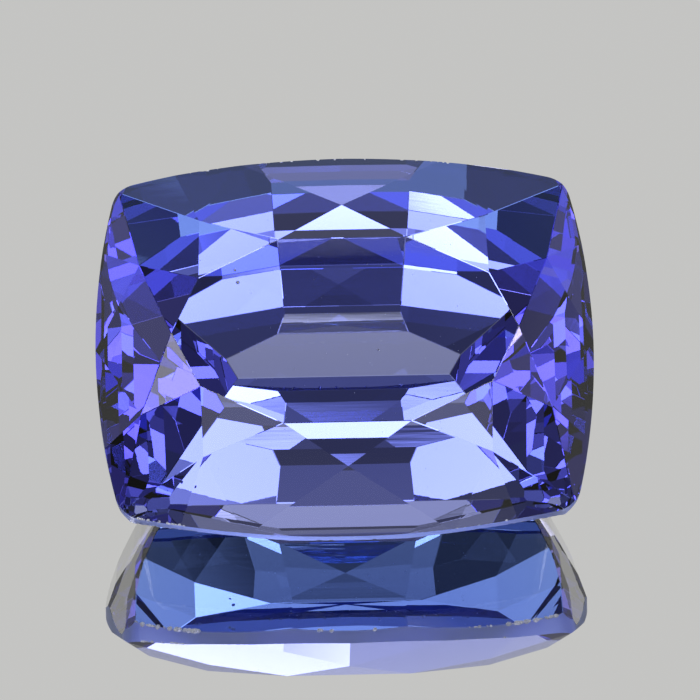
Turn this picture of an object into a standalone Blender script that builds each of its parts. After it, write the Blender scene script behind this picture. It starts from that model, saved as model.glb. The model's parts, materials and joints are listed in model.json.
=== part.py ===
"""A cushion cut tanzanite of about three carats, lying tipped on one facet of its pavilion.

The stone is worked out in millimetres with its table level and facing up: X along its length,
Y across its width, and height 0 at the middle of its girdle. It starts as a straight-sided blank
with the girdle's outline, and each facet is one flat cut, as on a cutter's wheel. The finished
stone is then tipped towards -Y until its resting facet lies on the ground.
"""

import math

import bmesh
import bpy
from mathutils import Matrix, Vector

MM = 0.001

# Girdle outline, seen from above the table: bowed sides and ends that meet in round corners.
HALF_LENGTH = 4.60
HALF_WIDTH = 3.68
SIDE_BOW = 0.50
END_BOW = 0.42
CORNER_RADIUS = 0.55
GIRDLE_THICKNESS = 0.24
SIDE_POINTS = 14
CORNER_POINTS = 8
END_POINTS = 10

# Crown, in the quarter where X and Y are positive. The table has ten sides: its long edges lie
# across the stone's width, and each end is cut to a point by two more edges and a corner edge.
CROWN_HEIGHT = 0.93
TABLE_SIDE = Vector((1.17, 1.78))
TABLE_CORNER = Vector((2.67, 1.05))
TABLE_END = 3.19

# Where the points of the kite-shaped main facets touch the girdle, and the directions they face.
SIDE_MAIN_X = 1.83
SIDE_MAIN_AZIMUTH = 83.0
CORNER_MAIN_AT = 42.2
CORNER_MAIN_AZIMUTH = 48.8

# Where two break facets meet on the girdle, between one main facet and the next.
SIDE_BREAK_X = 3.08
END_BREAK_Y = 1.90

# Heights above the girdle of the points where a star, two mains and two breaks meet.
SIDE_STAR_HEIGHT = 0.63
CORNER_STAR_HEIGHT = 0.59
END_STAR_HEIGHT = 0.55

# Pavilion steps from the girdle down: how far below it each one starts, and its angle from level.
# The stone leans on the last step of its near side. The far side is cut deeper and its first
# step starts a little way up the girdle, so the girdle is thinner there.
NEAR_STEPS = ((0.0, 60.5), (0.61, 59.0), (1.52, 47.4), (2.35, 32.2))
FAR_STEPS = ((-0.055, 50.0), (0.62, 47.5), (2.82, 44.8), (3.15, 31.9))
END_STEPS = ((0.0, 75.5), (0.50, 59.4), (2.12, 44.6))

# Flanks: facets turned a little towards the corners, and where each one meets the girdle.
NEAR_FLANK_TURN = 7.2
NEAR_FLANK_X = 2.63
FAR_FLANK_TURN = 10.3
FAR_FLANK_X = 1.88
END_FLANK_TURN = 14.5
END_FLANK_Y = 2.2

# Signs of X and Y for a facet's mirror images: on both halves, or in all four quarters.
HALVES = ((1, 1), (-1, 1))
QUARTERS = ((1, 1), (-1, 1), (1, -1), (-1, -1))

# A face whose normal leans out of level by less than this belongs to the girdle.
GIRDLE_LEAN = 0.02

# Points closer than this to a cut are taken to lie on it, so that no splinter of a face is left.
SNAP = 0.002


class Outline:
    """The girdle's outline in one quarter: an end arc, a corner arc and a side arc, all tangent.

    The side arc runs through (0, HALF_WIDTH) and is SIDE_BOW high over its half chord; the end arc
    is the same thing turned. The corner arc's centre is where both arcs, drawn CORNER_RADIUS
    further in, cross each other.
    """

    def __init__(self):
        self.side_radius = arc_radius(HALF_LENGTH - END_BOW, SIDE_BOW)
        self.end_radius = arc_radius(HALF_WIDTH - SIDE_BOW, END_BOW)
        self.side_centre = Vector((0.0, HALF_WIDTH - self.side_radius))
        self.end_centre = Vector((HALF_LENGTH - self.end_radius, 0.0))
        self.corner_centre = self.find_corner_centre()
        self.side_angle = direction_of(self.corner_centre - self.side_centre)
        self.end_angle = direction_of(self.corner_centre - self.end_centre)

    def find_corner_centre(self):
        from_side = self.side_radius - CORNER_RADIUS
        from_end = self.end_radius - CORNER_RADIUS
        between = self.end_centre - self.side_centre
        distance = between.length
        along = (from_side**2 - from_end**2 + distance**2) / (2 * distance)
        off = math.sqrt(from_side**2 - along**2)
        way = between / distance
        across = Vector((-way.y, way.x))
        return self.side_centre + way * along - across * off

    def side_y(self, x):
        return self.side_centre.y + math.sqrt(self.side_radius**2 - x * x)

    def end_x(self, y):
        return self.end_centre.x + math.sqrt(self.end_radius**2 - y * y)

    def corner_point(self, angle):
        return self.corner_centre + CORNER_RADIUS * facing(angle)

    def quarter(self):
        """Points from the middle of the +X end round to the middle of the +Y side."""
        stretches = (
            (self.end_centre, self.end_radius, 0.0, self.end_angle, END_POINTS),
            (self.corner_centre, CORNER_RADIUS, self.end_angle, self.side_angle, CORNER_POINTS),
            (self.side_centre, self.side_radius, self.side_angle, 90.0, SIDE_POINTS),
        )
        points = []
        for centre, radius, start, end, steps in stretches:
            for step in range(steps):
                angle = start + (end - start) * step / steps
                points.append(centre + radius * facing(angle))
        points.append(Vector((0.0, HALF_WIDTH)))
        return points

    def ring(self):
        """The whole outline, anticlockwise, from the quarter and its three mirror images."""
        quarter = self.quarter()
        left = [Vector((-p.x, p.y)) for p in reversed(quarter)][1:]
        upper = quarter + left
        lower = [Vector((p.x, -p.y)) for p in reversed(upper)][1:-1]
        return upper + lower


def arc_radius(half_chord, height):
    return (half_chord**2 + height**2) / (2 * height)


def facing(azimuth):
    """The level direction at this many degrees from +X towards +Y."""
    return Vector((math.cos(math.radians(azimuth)), math.sin(math.radians(azimuth))))


def direction_of(way):
    return math.degrees(math.atan2(way.y, way.x))


def at_height(point, height):
    return Vector((point.x, point.y, height))


def plane_through(first, second, third):
    """The plane of three points, as a point on it and its normal, facing out of the stone."""
    normal = (second - first).cross(third - first).normalized()
    return first, normal if normal.dot(first) > 0 else -normal


def sloping_plane(azimuth, low, high):
    """The plane that faces one azimuth and holds a low and a high point."""
    way = facing(azimuth)
    run = way.dot(low.xy - high.xy)
    rise = high.z - low.z
    return low, Vector((way.x * rise, way.y * rise, run)).normalized()


def pavilion_plane(azimuth, slope, point):
    """The plane through a point that faces one azimuth and leans this far under the stone."""
    way = facing(azimuth) * math.sin(math.radians(slope))
    return point, Vector((way.x, way.y, -math.cos(math.radians(slope))))


def point_on_both(first, second, height):
    """Where the ridge between two planes reaches a height."""
    rows = Matrix((first[1], second[1], Vector((0.0, 0.0, 1.0))))
    return rows.inverted() @ Vector((first[0].dot(first[1]), second[0].dot(second[1]), height))


def mirrored_x(point):
    return Vector((-point.x, point.y, point.z))


def crown_planes(outline):
    """The crown's facets in one quarter: main facets first, then stars, then breaks."""
    girdle = GIRDLE_THICKNESS / 2
    top = girdle + CROWN_HEIGHT
    side_tip = Vector((SIDE_MAIN_X, outline.side_y(SIDE_MAIN_X), girdle))
    corner_tip = at_height(outline.corner_point(CORNER_MAIN_AT), girdle)
    end_tip = Vector((HALF_LENGTH, 0.0, girdle))
    table_side = at_height(TABLE_SIDE, top)
    table_corner = at_height(TABLE_CORNER, top)
    table_end = Vector((TABLE_END, 0.0, top))

    side_main = sloping_plane(SIDE_MAIN_AZIMUTH, side_tip, table_side)
    corner_main = sloping_plane(CORNER_MAIN_AZIMUTH, corner_tip, table_corner)
    end_main = sloping_plane(0.0, end_tip, table_end)

    other_side_main = (mirrored_x(side_main[0]), mirrored_x(side_main[1]))
    side_star = point_on_both(side_main, other_side_main, girdle + SIDE_STAR_HEIGHT)
    corner_star = point_on_both(side_main, corner_main, girdle + CORNER_STAR_HEIGHT)
    end_star = point_on_both(corner_main, end_main, girdle + END_STAR_HEIGHT)

    middle_break = Vector((0.0, HALF_WIDTH, girdle))
    side_break = Vector((SIDE_BREAK_X, outline.side_y(SIDE_BREAK_X), girdle))
    end_break = Vector((outline.end_x(END_BREAK_Y), END_BREAK_Y, girdle))
    return [
        side_main,
        corner_main,
        end_main,
        plane_through(table_side, mirrored_x(table_side), side_star),
        plane_through(table_side, table_corner, corner_star),
        plane_through(table_corner, table_end, end_star),
        plane_through(side_tip, middle_break, side_star),
        plane_through(side_tip, side_break, corner_star),
        plane_through(corner_tip, side_break, corner_star),
        plane_through(corner_tip, end_break, end_star),
        plane_through(end_tip, end_break, end_star),
    ]


def steps_down(steps, azimuth, reach):
    """The pavilion facets that face one azimuth: each starts where the one above it ends."""
    level = -GIRDLE_THICKNESS / 2
    planes = []
    for index, (below, slope) in enumerate(steps):
        if index:
            last_below, last_slope = steps[index - 1]
            reach -= (below - last_below) / math.tan(math.radians(last_slope))
        point = at_height(facing(azimuth) * reach, level - below)
        planes.append(pavilion_plane(azimuth, slope, point))
    return planes


def flank(slope, azimuth, x, y):
    """A pavilion facet through a point on the girdle's lower edge."""
    return pavilion_plane(azimuth, slope, Vector((x, y, -GIRDLE_THICKNESS / 2)))


def side_planes(outline):
    """The right half of the pavilion's near side, then of its far side."""
    near_y = -outline.side_y(NEAR_FLANK_X)
    far_y = outline.side_y(FAR_FLANK_X)
    near_flank = flank(NEAR_STEPS[0][1], NEAR_FLANK_TURN - 90.0, NEAR_FLANK_X, near_y)
    far_flank = flank(FAR_STEPS[1][1], 90.0 - FAR_FLANK_TURN, FAR_FLANK_X, far_y)
    near = steps_down(NEAR_STEPS, -90.0, HALF_WIDTH)
    far = steps_down(FAR_STEPS, 90.0, HALF_WIDTH)
    return near + [near_flank] + far + [far_flank]


def end_planes(outline):
    """The upper quarter of the pavilion's +X end."""
    turned = flank(END_STEPS[0][1], END_FLANK_TURN, outline.end_x(END_FLANK_Y), END_FLANK_Y)
    return steps_down(END_STEPS, 0.0, HALF_LENGTH) + [turned]


def blank(outline, height):
    """A straight-sided prism of the girdle's outline, standing this far above and below it."""
    stone = bmesh.new()
    base = stone.faces.new([stone.verts.new((p.x, p.y, -height)) for p in outline.ring()])
    base.normal_update()
    lifted = bmesh.ops.extrude_face_region(stone, geom=[base])["geom"]
    upper = [piece for piece in lifted if isinstance(piece, bmesh.types.BMVert)]
    bmesh.ops.translate(stone, verts=upper, vec=Vector((0.0, 0.0, 2 * height)))
    bmesh.ops.recalc_face_normals(stone, faces=stone.faces[:])
    return stone


def cut(stone, plane):
    """Takes off what lies beyond a plane and closes the stone with a flat facet."""
    point, normal = plane
    everything = stone.verts[:] + stone.edges[:] + stone.faces[:]
    found = bmesh.ops.bisect_plane(
        stone, geom=everything, dist=SNAP, plane_co=point, plane_no=normal, clear_outer=True
    )
    rim = [piece for piece in found["geom_cut"] if isinstance(piece, bmesh.types.BMEdge)]
    open_rim = [edge for edge in rim if len(edge.link_faces) == 1]
    if open_rim:
        bmesh.ops.edgeloop_fill(stone, edges=open_rim)


def mirror_images(plane, signs):
    """A plane on each side that the signs name, each one once."""
    found = []
    for flip in signs:
        point, normal = (Vector((v.x * flip[0], v.y * flip[1], v.z)) for v in plane)
        if all((normal - seen[1]).length > SNAP for seen in found):
            found.append((point, normal))
    return found


def cut_stone():
    outline = Outline()
    stone = blank(outline, HALF_WIDTH + CROWN_HEIGHT)
    cut(stone, (Vector((0.0, 0.0, GIRDLE_THICKNESS / 2 + CROWN_HEIGHT)), Vector((0.0, 0.0, 1.0))))
    for plane in side_planes(outline):
        for image in mirror_images(plane, HALVES):
            cut(stone, image)
    for plane in end_planes(outline) + crown_planes(outline):
        for image in mirror_images(plane, QUARTERS):
            cut(stone, image)
    bmesh.ops.remove_doubles(stone, verts=stone.verts[:], dist=SNAP)
    bmesh.ops.dissolve_degenerate(stone, edges=stone.edges[:], dist=SNAP)
    bmesh.ops.recalc_face_normals(stone, faces=stone.faces[:])
    return stone


def lay_down(stone):
    """Tips the stone onto its near side's last step, sets it on the ground and centres it."""
    tip = Matrix.Rotation(math.radians(NEAR_STEPS[-1][1]), 4, "X")
    bmesh.ops.transform(stone, matrix=tip, verts=stone.verts[:])
    low = Vector([min(vert.co[axis] for vert in stone.verts) for axis in range(3)])
    high = Vector([max(vert.co[axis] for vert in stone.verts) for axis in range(3)])
    middle = (low + high) / 2
    shift = Vector((-middle.x, -middle.y, -low.z))
    bmesh.ops.translate(stone, verts=stone.verts[:], vec=shift)
    bmesh.ops.scale(stone, verts=stone.verts[:], vec=Vector((MM, MM, MM)))


def smooth_girdle(stone):
    """The girdle is one rounded band; every facet stays flat."""
    tip = math.radians(NEAR_STEPS[-1][1])
    stone_up = Vector((0.0, -math.sin(tip), math.cos(tip)))
    for face in stone.faces:
        face.smooth = abs(face.normal.dot(stone_up)) < GIRDLE_LEAN


def crystal_material():
    """Clear violet-blue zoisite, polished: smooth, see-through and strongly refracting."""
    material = bpy.data.materials.new("tanzanite crystal")
    material.use_nodes = True
    surface = material.node_tree.nodes["Principled BSDF"].inputs
    surface["Base Color"].default_value = (0.27, 0.25, 0.72, 1.0)
    surface["Metallic"].default_value = 0.0
    surface["Roughness"].default_value = 0.02
    surface["IOR"].default_value = 1.695
    surface["Transmission Weight"].default_value = 1.0
    return material


def main():
    for leftover in list(bpy.data.objects):
        bpy.data.objects.remove(leftover, do_unlink=True)
    stone = cut_stone()
    lay_down(stone)
    stone.normal_update()
    smooth_girdle(stone)
    mesh = bpy.data.meshes.new("tanzanite")
    stone.to_mesh(mesh)
    stone.free()
    mesh.materials.append(crystal_material())
    tanzanite = bpy.data.objects.new("tanzanite", mesh)
    bpy.context.scene.collection.objects.link(tanzanite)


main()
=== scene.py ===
"""Looks of a cushion cut tanzanite that lies tipped on one facet, on a mirror-polished table.

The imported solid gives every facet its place. The stone shown here is a merged copy of it, whose
facets meet in finely worn edges, with a ground and chipped girdle and grains inside the crystal.
Named sizes are in millimetres, and MM turns them to the metres that meshes are in. Lamps and
cards of the light tent are in degrees.
"""

import json
import math
import random

import bmesh
import bpy
import numpy as np
from mathutils import Matrix, Vector

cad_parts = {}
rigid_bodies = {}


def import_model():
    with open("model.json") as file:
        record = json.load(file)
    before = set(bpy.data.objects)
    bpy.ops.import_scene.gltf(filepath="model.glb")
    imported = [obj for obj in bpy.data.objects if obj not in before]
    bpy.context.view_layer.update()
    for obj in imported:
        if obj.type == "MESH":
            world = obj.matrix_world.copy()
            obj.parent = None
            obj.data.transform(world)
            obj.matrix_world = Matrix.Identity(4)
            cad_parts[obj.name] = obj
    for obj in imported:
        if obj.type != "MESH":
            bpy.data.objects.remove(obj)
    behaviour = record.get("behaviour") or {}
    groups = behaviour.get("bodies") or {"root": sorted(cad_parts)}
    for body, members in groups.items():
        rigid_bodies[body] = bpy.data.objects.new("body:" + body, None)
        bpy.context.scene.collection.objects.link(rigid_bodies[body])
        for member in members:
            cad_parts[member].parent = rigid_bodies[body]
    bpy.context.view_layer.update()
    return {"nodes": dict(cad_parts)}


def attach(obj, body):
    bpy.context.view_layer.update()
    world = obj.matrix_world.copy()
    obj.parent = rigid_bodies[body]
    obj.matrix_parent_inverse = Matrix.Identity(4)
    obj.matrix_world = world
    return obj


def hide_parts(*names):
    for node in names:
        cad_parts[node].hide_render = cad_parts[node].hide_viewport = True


MM = 0.001

# Places of the stone's materials in its list: polished facets, frosted girdle and fresh breaks.
POLISHED, FROSTED, FRESH = 0, 1, 2

# The stone as it lies: how far its table is tipped towards -Y, and the middle of its girdle.
TIP = math.radians(32.2)
GIRDLE_MIDDLE = Vector((0.0, 0.0146, 3.169))
STONE_UP = Vector((0.0, -math.sin(TIP), math.cos(TIP)))
STONE_NEAR = Vector((0.0, -math.cos(TIP), -math.sin(TIP)))
# How far the stone's own table lies above that middle.
STONE_TOP = 1.05
# A face of the girdle band leans less than this from upright, as the sine of an angle.
GIRDLE_LEAN = 0.02
# Corners nearer to each other than this are one corner, and faces this much out of line are one facet.
SAME_PLACE = 0.0005
SAME_FACET = math.radians(0.05)

# Small facets over the end steps' edges: slopes and turns in degrees, and how deep they are cut.
END_FACET_SLOPES = (48, 55, 62, 70)
END_FACET_TURNS = (0, 7, -7, 14, -14, 24, -24, 36, -36)
END_FACET_DEPTH = 0.04

# Worn edges: the width of the flat, and the least edge angle and edge length that get one.
WORN_WIDTH = 0.016
WORN_ABOVE = math.radians(3.0)
WORN_LENGTH = 0.3
# The near edge between girdle and crown is worn rough: from and to which distance along X, how
# squarely a part of it faces the near side, and the width of the flat.
ROUGH_EDGE = (-2.2, 3.0)
ROUGH_EDGE_NEAR = 0.5
ROUGH_EDGE_WIDTH = 0.045

# Chips along the girdle's two edges: which side (1 near, -1 far), which edge (1 towards the table,
# -1 away from it), from and to which distance along X, how many, and the largest radius.
CHIPS = (
    (1, 1, -3.9, -2.9, 22, 0.055),
    (1, -1, -4.0, -2.8, 44, 0.065),
    (1, -1, 2.1, 3.9, 34, 0.065),
    (1, -1, -1.0, 2.0, 5, 0.050),
    (1, 1, 1.5, 2.9, 5, 0.040),
    (-1, 1, -2.9, 3.0, 22, 0.045),
)
# Shares of the largest radius that a chip may have, and of its radius that its thickness may have.
CHIP_SIZES = (0.3, 1.0)
CHIP_SQUASH = (0.3, 0.9)
CHIP_SEED = 7
# How far a lump of full roundness is turned, in radians. A flatter one is turned less.
LUMP_SPIN = 9.0

# Large grains in the crystal: across, along, down from the table, and radius. Then the fine ones:
# how many, their largest radius, shares as for the chips, how far they spread across, along and
# down, and their least depth.
GRAINS = ((0.6, -0.35, 0.3, 0.028), (-1.95, 1.0, 0.25, 0.040), (-2.0, 1.25, 0.3, 0.034))
FINE_GRAINS = 70
FINE_GRAIN_SIZE = 0.010
GRAIN_SIZES = (0.4, 1.0)
GRAIN_SQUASH = (0.4, 0.9)
GRAIN_SPREAD = (2.6, 1.7, 1.4)
GRAIN_LEAST_DEPTH = 0.1
GRAIN_SEED = 3

# How fast red, green and blue light fade per millimetre: the first takes 15, 13 and 1 % of them.
FADING = (0.165, 0.1452, 0.01155)
REFRACTIVE_INDEX = 1.695
# Lap lines: waves per millimetre along and across them, their depth, and their turn in radians.
# Real ones are some micrometres apart, too fine to show, so they are drawn a ninth of a mm apart.
LAP_LINES_ALONG = 0.7
LAP_LINES_ACROSS = 9.0
LAP_LINE_DEPTH = 0.00008
LAP_LINE_TURN = (0.3, 0.5, 0.8)
# Facets whose normal leans this far towards an end are tinted violet, on the crown and below it.
# A crown facet's normal also points up by more than CROWN_LEAN.
VIOLET_LEAN = (0.25, 0.55)
CROWN_LEAN = 0.1
# Facets below the girdle that face the near side this squarely are tinted blue.
BLUE_DOWN = 0.3
BLUE_NEAR = 0.75

# The table: half its width, and how far it lies below the stone, so that no faces coincide.
TABLE_HALF = 1000.0
TABLE_BELOW = 0.005

# Camera: a long lens, as used for small stones, from which the middle of the girdle falls on its
# own pixel of the picture. It sees from the first to the second distance of CAMERA_CLIP.
CAMERA_ELEVATION = math.radians(39.2)
CAMERA_AZIMUTH = math.radians(1.34)
CAMERA_ROLL = math.radians(-0.3)
CAMERA_DISTANCE = 110.0
PICTURE_PIXELS = 700
PIXELS_PER_MM = 54.1
GIRDLE_MIDDLE_PIXEL = (344.6, 347.6)
SENSOR_WIDTH = 36.0
CAMERA_CLIP = (10.0, 10000.0)

# Brightness of the light tent's wall behind, beside and in front of the stone, one row for each of
# three heights. Heights and places are in degrees, a place from straight behind the stone.
TENT_HEIGHTS = (8, 40, 75)
TENT_PLACES = (20, 90, 160)
TENT = ((1.1, 0.5, 1.3), (1.2, 0.5, 1.1), (0.2, 0.2, 0.2))
# Lamps and dark cards on the tent, each where one group of facets looks: azimuth, elevation, width
# and height, then brightness. Azimuth 0 is behind the stone, and 90 is to its right.
LAMPS = (
    (-70, 60, 30, 20, 6.0),
    (110, 65, 95, 15, 3.0),
    (130, 70, 5, 10, 6.0),
    (-145, 60, 35, 30, 3.0),
    (15, 15, 25, 15, 3.5),
    (5, 86, 30, 4, 5.0),
)
CARDS = (
    (180, 70, 30, 15, 0.1),
    (-60, 55, 55, 20, 0.1),
    (70, 45, 35, 35, 0.05),
    (-130, 25, 70, 40, 0.1),
    (150, 25, 95, 30, 0.15),
    (185, 15, 30, 15, 0.5),
    (-35, 45, 35, 25, 0.2),
    (35, 45, 35, 25, 0.2),
    (0, 50, 30, 15, 0.3),
    (0, 24, 25, 9, 0.05),
    (180, 55, 20, 10, 0.3),
)
# The plain grey backdrop, which the table mirrors round the stone.
BACKDROP = (0, 39, 18, 10, 0.67)
# How softly, in degrees, a lamp's or card's edge fades into the wall.
PANEL_EDGE = 1.5


def linear(code):
    """A colour written as an sRGB hex value, turned to the linear values that shaders take."""
    channels = [int(code[place:place + 2], 16) / 255 for place in (1, 3, 5)]
    return [c / 12.92 if c <= 0.04045 else ((c + 0.055) / 1.055) ** 2.4 for c in channels] + [1.0]


def node(tree, kind, settings=None, **inputs):
    """Adds a node. Settings are its own properties; an input takes a value or another socket."""
    made = tree.nodes.new(kind)
    for name, value in (settings or {}).items():
        setattr(made, name, value)
    for name, value in inputs.items():
        key = int(name[1:]) if name[1:].isdigit() else name.replace("_", " ")
        if isinstance(value, bpy.types.NodeSocket):
            tree.links.new(value, made.inputs[key])
        else:
            made.inputs[key].default_value = value
    return made


def new_material(name):
    """An empty material, for the nodes that one of the functions below gives it."""
    material = bpy.data.materials.new(name)
    material.use_nodes = True
    material.node_tree.nodes.clear()
    return material


def crystal_depth(tree):
    """Light fades with depth. The fastest rate of the three is the density, and one minus a
    colour's share of that rate is its place in the node's colour, so each fades at its own rate.
    """
    fastest = max(FADING)
    return node(tree, "ShaderNodeVolumeAbsorption", Density=fastest / MM,
                Color=[1.0 - rate / fastest for rate in FADING] + [1.0])


def complete(material, surface, crystal=False):
    """Joins a surface, and for crystal the fading of light inside it, to a material's output."""
    tree = material.node_tree
    out = node(tree, "ShaderNodeOutputMaterial", Surface=surface.outputs[0])
    if crystal:
        tree.links.new(crystal_depth(tree).outputs[0], out.inputs["Volume"])
    return material


def polished_crystal():
    """Zoisite, heat treated to violet blue and polished on a metal lap with fine powder.

    The surface is a smooth dielectric, so a facet either lets light through or mirrors it whole.
    The colour comes from the depth of crystal that light has crossed. Tanzanite also looks bluer
    across its width and more violet along its length, which the facets' own tint gives. Lines
    that the lap left bend what is seen through a facet very slightly.
    """
    material = new_material("zoisite, polished facets")
    tree = material.node_tree
    tint = node(tree, "ShaderNodeAttribute", {"attribute_name": "tint"})
    place = node(tree, "ShaderNodeTexCoord").outputs["Object"]
    stretched = node(tree, "ShaderNodeMapping", Vector=place, Rotation=LAP_LINE_TURN,
                     Scale=[waves / MM for waves in
                            (LAP_LINES_ALONG, LAP_LINES_ACROSS, LAP_LINES_ALONG)])
    lines = node(tree, "ShaderNodeTexNoise", Vector=stretched.outputs[0], Scale=1.0, Detail=2.0)
    relief = node(tree, "ShaderNodeBump", Height=lines.outputs["Fac"], Strength=1.0,
                  Distance=LAP_LINE_DEPTH * MM)
    surface = node(tree, "ShaderNodeBsdfPrincipled", Base_Color=tint.outputs["Color"],
                   Roughness=0.0, IOR=REFRACTIVE_INDEX, Transmission_Weight=1.0,
                   Normal=relief.outputs[0])
    return complete(material, surface, crystal=True)


def rough_crystal(name, colour, roughness, clear):
    """The same crystal where it isn't polished, so part of the light scatters at its surface.

    The girdle was ground on a lap and left frosted. A chip broke away and shows a fresh, pale face.
    """
    material = new_material(name)
    surface = node(material.node_tree, "ShaderNodeBsdfPrincipled", Base_Color=linear(colour),
                   Roughness=roughness, IOR=REFRACTIVE_INDEX, Transmission_Weight=clear)
    return complete(material, surface, crystal=True)


def trapped_mineral():
    """Calcite, grown as rough grains before the crystal closed round them: pale and dull."""
    material = new_material("calcite grains")
    surface = node(material.node_tree, "ShaderNodeBsdfPrincipled", Base_Color=linear("#E9ECF8"),
                   Roughness=0.6, IOR=1.6)
    return complete(material, surface)


def mirror_table():
    """Aluminium sheet, buffed to a mirror: it shows the stone and the backdrop a little dimmed."""
    material = new_material("aluminium sheet, mirror polished")
    surface = node(material.node_tree, "ShaderNodeBsdfPrincipled", Base_Color=linear("#EDEDED"),
                   Metallic=1.0, Roughness=0.0)
    return complete(material, surface)


def merged_copy(cad):
    """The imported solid's loose triangles, joined at their corners and merged into flat facets."""
    stone = bmesh.new()
    stone.from_mesh(cad.data)
    bmesh.ops.remove_doubles(stone, verts=stone.verts[:], dist=SAME_PLACE * MM)
    bmesh.ops.dissolve_limit(stone, angle_limit=SAME_FACET, verts=stone.verts[:],
                             edges=stone.edges[:])
    return stone


def grind(stone, normal, reach):
    """Cuts a flat facet: its plane is square to normal, at the distance reach from the origin."""
    everything = stone.verts[:] + stone.edges[:] + stone.faces[:]
    found = bmesh.ops.bisect_plane(stone, geom=everything, dist=SAME_PLACE * MM,
                                   plane_co=normal * reach, plane_no=normal, clear_outer=True)
    rim = [piece for piece in found["geom_cut"]
           if isinstance(piece, bmesh.types.BMEdge) and len(piece.link_faces) == 1]
    return bmesh.ops.edgeloop_fill(stone, edges=rim)["faces"] if rim else []


def lying(across, along, up):
    """A direction of the stone's own axes, turned to where it points as the stone lies."""
    return (Vector((1.0, 0.0, 0.0)) * across - STONE_NEAR * along + STONE_UP * up).normalized()


def end_facets(stone):
    """Small facets over the corners and edges of the end steps, which make the ends sparkle.

    Each plane lies a set depth under the outermost corner in its own direction.
    """
    for slope in END_FACET_SLOPES:
        for turn in END_FACET_TURNS:
            for side in (1, -1):
                s, t = math.radians(slope), math.radians(turn)
                normal = lying(side * math.cos(t) * math.sin(s), math.sin(t) * math.sin(s),
                               -math.cos(s))
                grind(stone, normal, max(vert.co.dot(normal) for vert in stone.verts)
                      - END_FACET_DEPTH * MM)


def on_girdle(face):
    """True for the faces of the girdle band, which stand square to the stone's table."""
    return abs(face.normal.dot(STONE_UP)) < GIRDLE_LEAN


def worn_edges(stone):
    """Takes each long facet edge off by a narrow flat of one width, as wear and polishing do.

    The flat halves the edge's angle, so it lies half its width times the tangent of half that
    angle below the edge. The near edge between girdle and crown is worn wider, rough and pale.
    """
    stone.normal_update()
    flats = []
    for edge in stone.edges:
        angle = edge.calc_face_angle(0.0)
        if angle > WORN_ABOVE and edge.calc_length() > WORN_LENGTH * MM:
            normal = sum((face.normal for face in edge.link_faces), Vector()).normalized()
            middle = (edge.verts[0].co + edge.verts[1].co) / 2
            rough = (sum(on_girdle(face) for face in edge.link_faces) == 1
                     and normal.dot(STONE_UP) > 0.0 and normal.dot(STONE_NEAR) > ROUGH_EDGE_NEAR
                     and ROUGH_EDGE[0] * MM < middle.x < ROUGH_EDGE[1] * MM)
            width = ROUGH_EDGE_WIDTH if rough else WORN_WIDTH
            reach = middle.dot(normal) - math.tan(angle / 2) * width / 2 * MM
            flats.append((normal, reach, rough))
    for normal, reach, rough in flats:
        for face in grind(stone, normal, reach):
            face.material_index = FRESH if rough else POLISHED


def facet_tint(normal):
    """Violet at the two ends, blue on the near side's steep steps, else none."""
    up = normal.dot(STONE_UP)
    near = normal.dot(STONE_NEAR)
    crown, below = VIOLET_LEAN
    if abs(normal.x) > (crown if up > CROWN_LEAN else below):
        return linear("#E6C0FF")
    if up < -BLUE_DOWN and near > BLUE_NEAR:
        return linear("#A4E4FF")
    return linear("#FFFFFF")


def new_object(name, data):
    """An object at the origin, unturned and unscaled, in the scene."""
    piece = bpy.data.objects.new(name, data)
    bpy.context.scene.collection.objects.link(piece)
    return piece


def lumps(name, places, material):
    """Small twenty-sided lumps as one mesh, each flattened along an axis of its own.

    A lump of radius one has a pole at each end and two rings of five corners, at a height of one
    over the root of five below and above its middle, with the lower ring turned by a tenth of a
    circle. Its corners are flattened, turned and scaled by one matrix, then moved to their place.
    """
    ring = np.arange(5)
    height = np.repeat([-1.0, 1.0], 5) / math.sqrt(5)
    angle = np.concatenate([ring + 0.5, ring]) * 2 * np.pi / 5
    out = np.sqrt(1 - height ** 2)
    corners = np.vstack([(0, 0, -1), np.stack([out * np.cos(angle), out * np.sin(angle), height], 1),
                         (0, 0, 1)])
    after = (ring + 1) % 5
    faces = np.concatenate([
        np.stack([0 * ring, 1 + after, 1 + ring], 1), np.stack([1 + ring, 1 + after, 6 + after], 1),
        np.stack([1 + ring, 6 + after, 6 + ring], 1), np.stack([11 + 0 * ring, 6 + ring, 6 + after], 1)])
    spin = np.array([Matrix.Rotation(squash * LUMP_SPIN, 3, Vector((1.0, squash, 0.5)).normalized())
                     @ Matrix.Diagonal((radius, radius, squash * radius))
                     for _, radius, squash in places])
    middles = np.array([middle for middle, _, _ in places])
    points = (corners @ spin.transpose(0, 2, 1) + middles[:, None]) * MM
    joined = faces + len(corners) * np.arange(len(places))[:, None, None]
    mesh = bpy.data.meshes.new(name)
    mesh.from_pydata(points.reshape(-1, 3), [], joined.reshape(-1, 3))
    mesh.materials.append(material)
    return new_object(name, mesh)


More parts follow.
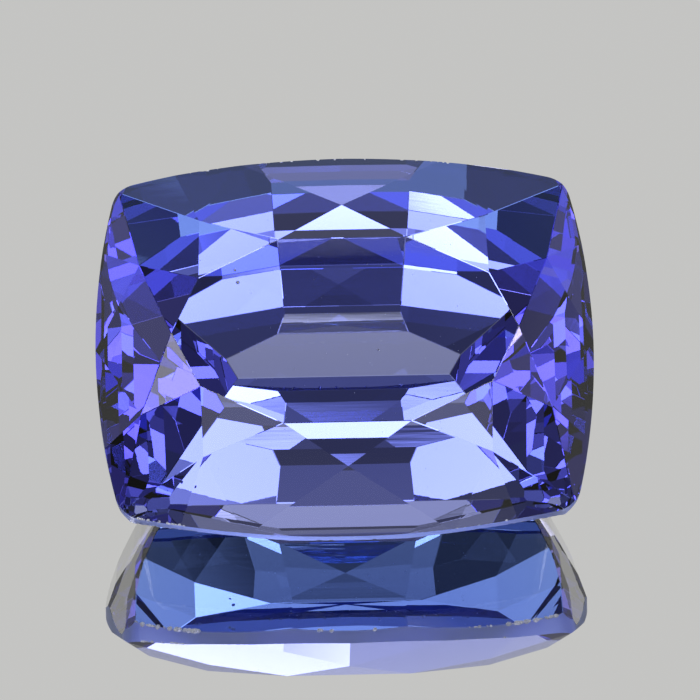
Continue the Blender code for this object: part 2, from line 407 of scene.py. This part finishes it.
def chip_girdle(piece):
    """Knocks small hollows out of the girdle's edges, close together where the photo shows them."""
    random.seed(CHIP_SEED)
    mesh = piece.data
    rim = {mesh.vertices[index].co.copy().freeze() for face in mesh.polygons
           if face.material_index == FROSTED for index in face.vertices}
    middle = GIRDLE_MIDDLE * MM
    places = []
    for side, edge, start, end, count, size in CHIPS:
        row = sorted((corner for corner in rim if (corner - middle).dot(STONE_NEAR) * side > 0
                      and (corner - middle).dot(STONE_UP) * edge > 0), key=lambda corner: corner.x)
        for _ in range(count):
            x = random.uniform(start, end) * MM
            after = next(place for place in range(1, len(row)) if row[place].x > x)
            share = (x - row[after - 1].x) / (row[after].x - row[after - 1].x)
            places.append((row[after - 1].lerp(row[after], share) / MM,
                           size * random.uniform(*CHIP_SIZES), random.uniform(*CHIP_SQUASH)))
    bites = lumps("bites", places, mesh.materials[FRESH])
    cut = piece.modifiers.new("bites", "BOOLEAN")
    cut.operation, cut.solver, cut.object = "DIFFERENCE", "EXACT", bites
    cut.use_self, cut.material_mode = True, "TRANSFER"
    seen = piece.evaluated_get(bpy.context.evaluated_depsgraph_get())
    piece.data = bpy.data.meshes.new_from_object(seen)
    piece.modifiers.clear()
    bpy.data.objects.remove(bites, do_unlink=True)


def paint_tint(mesh):
    """Gives every corner of a face the tint that the face's direction asks for."""
    tint = mesh.color_attributes.new("tint", "FLOAT_COLOR", "CORNER")
    values = np.repeat([facet_tint(face.normal) for face in mesh.polygons],
                       [face.loop_total for face in mesh.polygons], axis=0)
    tint.data.foreach_set("color", values.ravel())


def build_stone(cad):
    """The crystal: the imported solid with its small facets, worn edges, frosted girdle and chips."""
    stone = merged_copy(cad)
    end_facets(stone)
    worn_edges(stone)
    stone.normal_update()
    for face in stone.faces:
        if on_girdle(face):
            face.material_index = FROSTED
    mesh = bpy.data.meshes.new("stone")
    stone.to_mesh(mesh)
    stone.free()
    for material in (polished_crystal(),
                     rough_crystal("zoisite, ground girdle", "#A9BEFF", roughness=0.3, clear=0.6),
                     rough_crystal("zoisite, fresh chips", "#EEF2FF", roughness=0.15, clear=0.2)):
        mesh.materials.append(material)
    piece = new_object("stone", mesh)
    chip_girdle(piece)
    paint_tint(piece.data)
    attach(piece, "root")
    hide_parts("tanzanite")


def build_grains():
    """Pale grains that the crystal grew around: three large ones and a scatter of fine ones."""
    random.seed(GRAIN_SEED)
    grains = list(GRAINS)
    for _ in range(FINE_GRAINS):
        across, along, down = (random.uniform(-1, 1) * reach for reach in GRAIN_SPREAD)
        grains.append((across, along, abs(down) + GRAIN_LEAST_DEPTH,
                       FINE_GRAIN_SIZE * random.uniform(*GRAIN_SIZES)))
    places = [(GIRDLE_MIDDLE + Vector((across, 0.0, 0.0)) - STONE_NEAR * along
               + STONE_UP * (STONE_TOP - down), size, random.uniform(*GRAIN_SQUASH))
              for across, along, down, size in grains]
    piece = lumps("grains", places, trapped_mineral())
    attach(piece, "root")
    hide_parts("tanzanite")


def build_table():
    """A level sheet: wide enough to fill every view, just clear of the facet that rests on it."""
    corners = [(x * TABLE_HALF * MM, y * TABLE_HALF * MM, -TABLE_BELOW * MM)
               for x, y in ((-1, -1), (1, -1), (1, 1), (-1, 1))]
    mesh = bpy.data.meshes.new("table")
    mesh.from_pydata(corners, [], [(0, 1, 2, 3)])
    mesh.materials.append(mirror_table())
    table = new_object("table", mesh)


def between(tree, share, first, second):
    """The first value where share is 0, the second where it is 1."""
    mixed = node(tree, "ShaderNodeMix", {"data_type": "FLOAT"}, _0=share, _2=first, _3=second)
    return mixed.outputs[0]


def ramp(tree, value, start, end):
    """0 up to start, 1 from end on, and a straight rise or fall between them."""
    return node(tree, "ShaderNodeMapRange", Value=value, From_Min=start, From_Max=end).outputs[0]


def angle_across(tree, way, side, ahead):
    """The angle by which a direction lies to either side of the direction ahead."""
    parts = [node(tree, "ShaderNodeVectorMath", {"operation": "DOT_PRODUCT"}, _0=way, _1=axis)
             for axis in (side, ahead)]
    angle = node(tree, "ShaderNodeMath", {"operation": "ARCTAN2"},
                 _0=parts[0].outputs["Value"], _1=parts[1].outputs["Value"])
    return node(tree, "ShaderNodeMath", {"operation": "ABSOLUTE"}, _0=angle.outputs[0]).outputs[0]


def panel(tree, way, wall, azimuth, elevation, width, height, brightness):
    """Lays an evenly bright rectangle over the wall, with an edge that is a little soft."""
    a, e = math.radians(azimuth), math.radians(elevation)
    ahead = Vector((math.sin(a) * math.cos(e), math.cos(a) * math.cos(e), math.sin(e)))
    side = Vector((math.cos(a), -math.sin(a), 0.0))
    cover = [ramp(tree, angle_across(tree, way, axis, ahead), math.radians((size + PANEL_EDGE) / 2),
                  math.radians((size - PANEL_EDGE) / 2))
             for axis, size in ((side, width), (ahead.cross(side), height))]
    share = node(tree, "ShaderNodeMath", {"operation": "MULTIPLY"}, _0=cover[0], _1=cover[1])
    return between(tree, share.outputs[0], wall, brightness)


def light_tent():
    """A white fabric tent round the table: bands of brightness, then lamps and cards over them."""
    world = bpy.data.worlds.new("light tent")
    bpy.context.scene.world = world
    world.use_nodes = True
    tree = world.node_tree
    tree.nodes.clear()
    way = node(tree, "ShaderNodeTexCoord").outputs["Generated"]
    axes = node(tree, "ShaderNodeSeparateXYZ", Vector=way)
    height = node(tree, "ShaderNodeMath", {"operation": "ARCSINE"}, _0=axes.outputs["Z"]).outputs[0]
    turn = node(tree, "ShaderNodeMath", {"operation": "ARCTAN2"}, _0=axes.outputs["X"],
                _1=axes.outputs["Y"]).outputs[0]
    turn = node(tree, "ShaderNodeMath", {"operation": "ABSOLUTE"}, _0=turn).outputs[0]
    place = [math.radians(angle) for angle in TENT_PLACES]
    level = [math.radians(angle) for angle in TENT_HEIGHTS]
    beside = ramp(tree, turn, place[0], place[1])
    before = ramp(tree, turn, place[1], place[2])
    low, middle, high = (between(tree, before, between(tree, beside, back, side), front)
                         for back, side, front in TENT)
    wall = between(tree, ramp(tree, height, level[0], level[1]), low, middle)
    wall = between(tree, ramp(tree, height, level[1], level[2]), wall, high)
    for values in (*LAMPS, *CARDS, BACKDROP):
        wall = panel(tree, way, wall, *values)
    back = node(tree, "ShaderNodeBackground", Color=linear("#FCFCFA"), Strength=wall)
    node(tree, "ShaderNodeOutputWorld", Surface=back.outputs[0])


def camera():
    """Places the camera so that the middle of the girdle falls on its pixel of the picture."""
    back = Vector((-math.sin(CAMERA_AZIMUTH) * math.cos(CAMERA_ELEVATION),
                   -math.cos(CAMERA_AZIMUTH) * math.cos(CAMERA_ELEVATION),
                   math.sin(CAMERA_ELEVATION)))
    turn = back.to_track_quat("Z", "Y") @ Matrix.Rotation(CAMERA_ROLL, 3, "Z").to_quaternion()
    right = turn @ Vector((1.0, 0.0, 0.0))
    up = turn @ Vector((0.0, 1.0, 0.0))
    middle = PICTURE_PIXELS / 2
    aim = GIRDLE_MIDDLE + right * ((middle - GIRDLE_MIDDLE_PIXEL[0]) / PIXELS_PER_MM)
    aim -= up * ((middle - GIRDLE_MIDDLE_PIXEL[1]) / PIXELS_PER_MM)
    lens = bpy.data.cameras.new("camera")
    lens.sensor_width = SENSOR_WIDTH
    lens.lens = SENSOR_WIDTH * CAMERA_DISTANCE * PIXELS_PER_MM / PICTURE_PIXELS
    lens.clip_start, lens.clip_end = (reach * MM for reach in CAMERA_CLIP)
    seen_from = new_object("camera", lens)
    seen_from.location = (aim + back * CAMERA_DISTANCE) * MM
    seen_from.rotation_euler = turn.to_euler()
    bpy.context.scene.camera = seen_from


def main():
    """Clears the scene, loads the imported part, and puts stone, table, light and camera in place."""
    for leftover in list(bpy.data.objects):
        bpy.data.objects.remove(leftover, do_unlink=True)
    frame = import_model()
    build_stone(frame["nodes"]["tanzanite"])
    build_grains()
    build_table()
    light_tent()
    camera()
    bpy.context.scene.view_settings.view_transform = "Standard"


main()
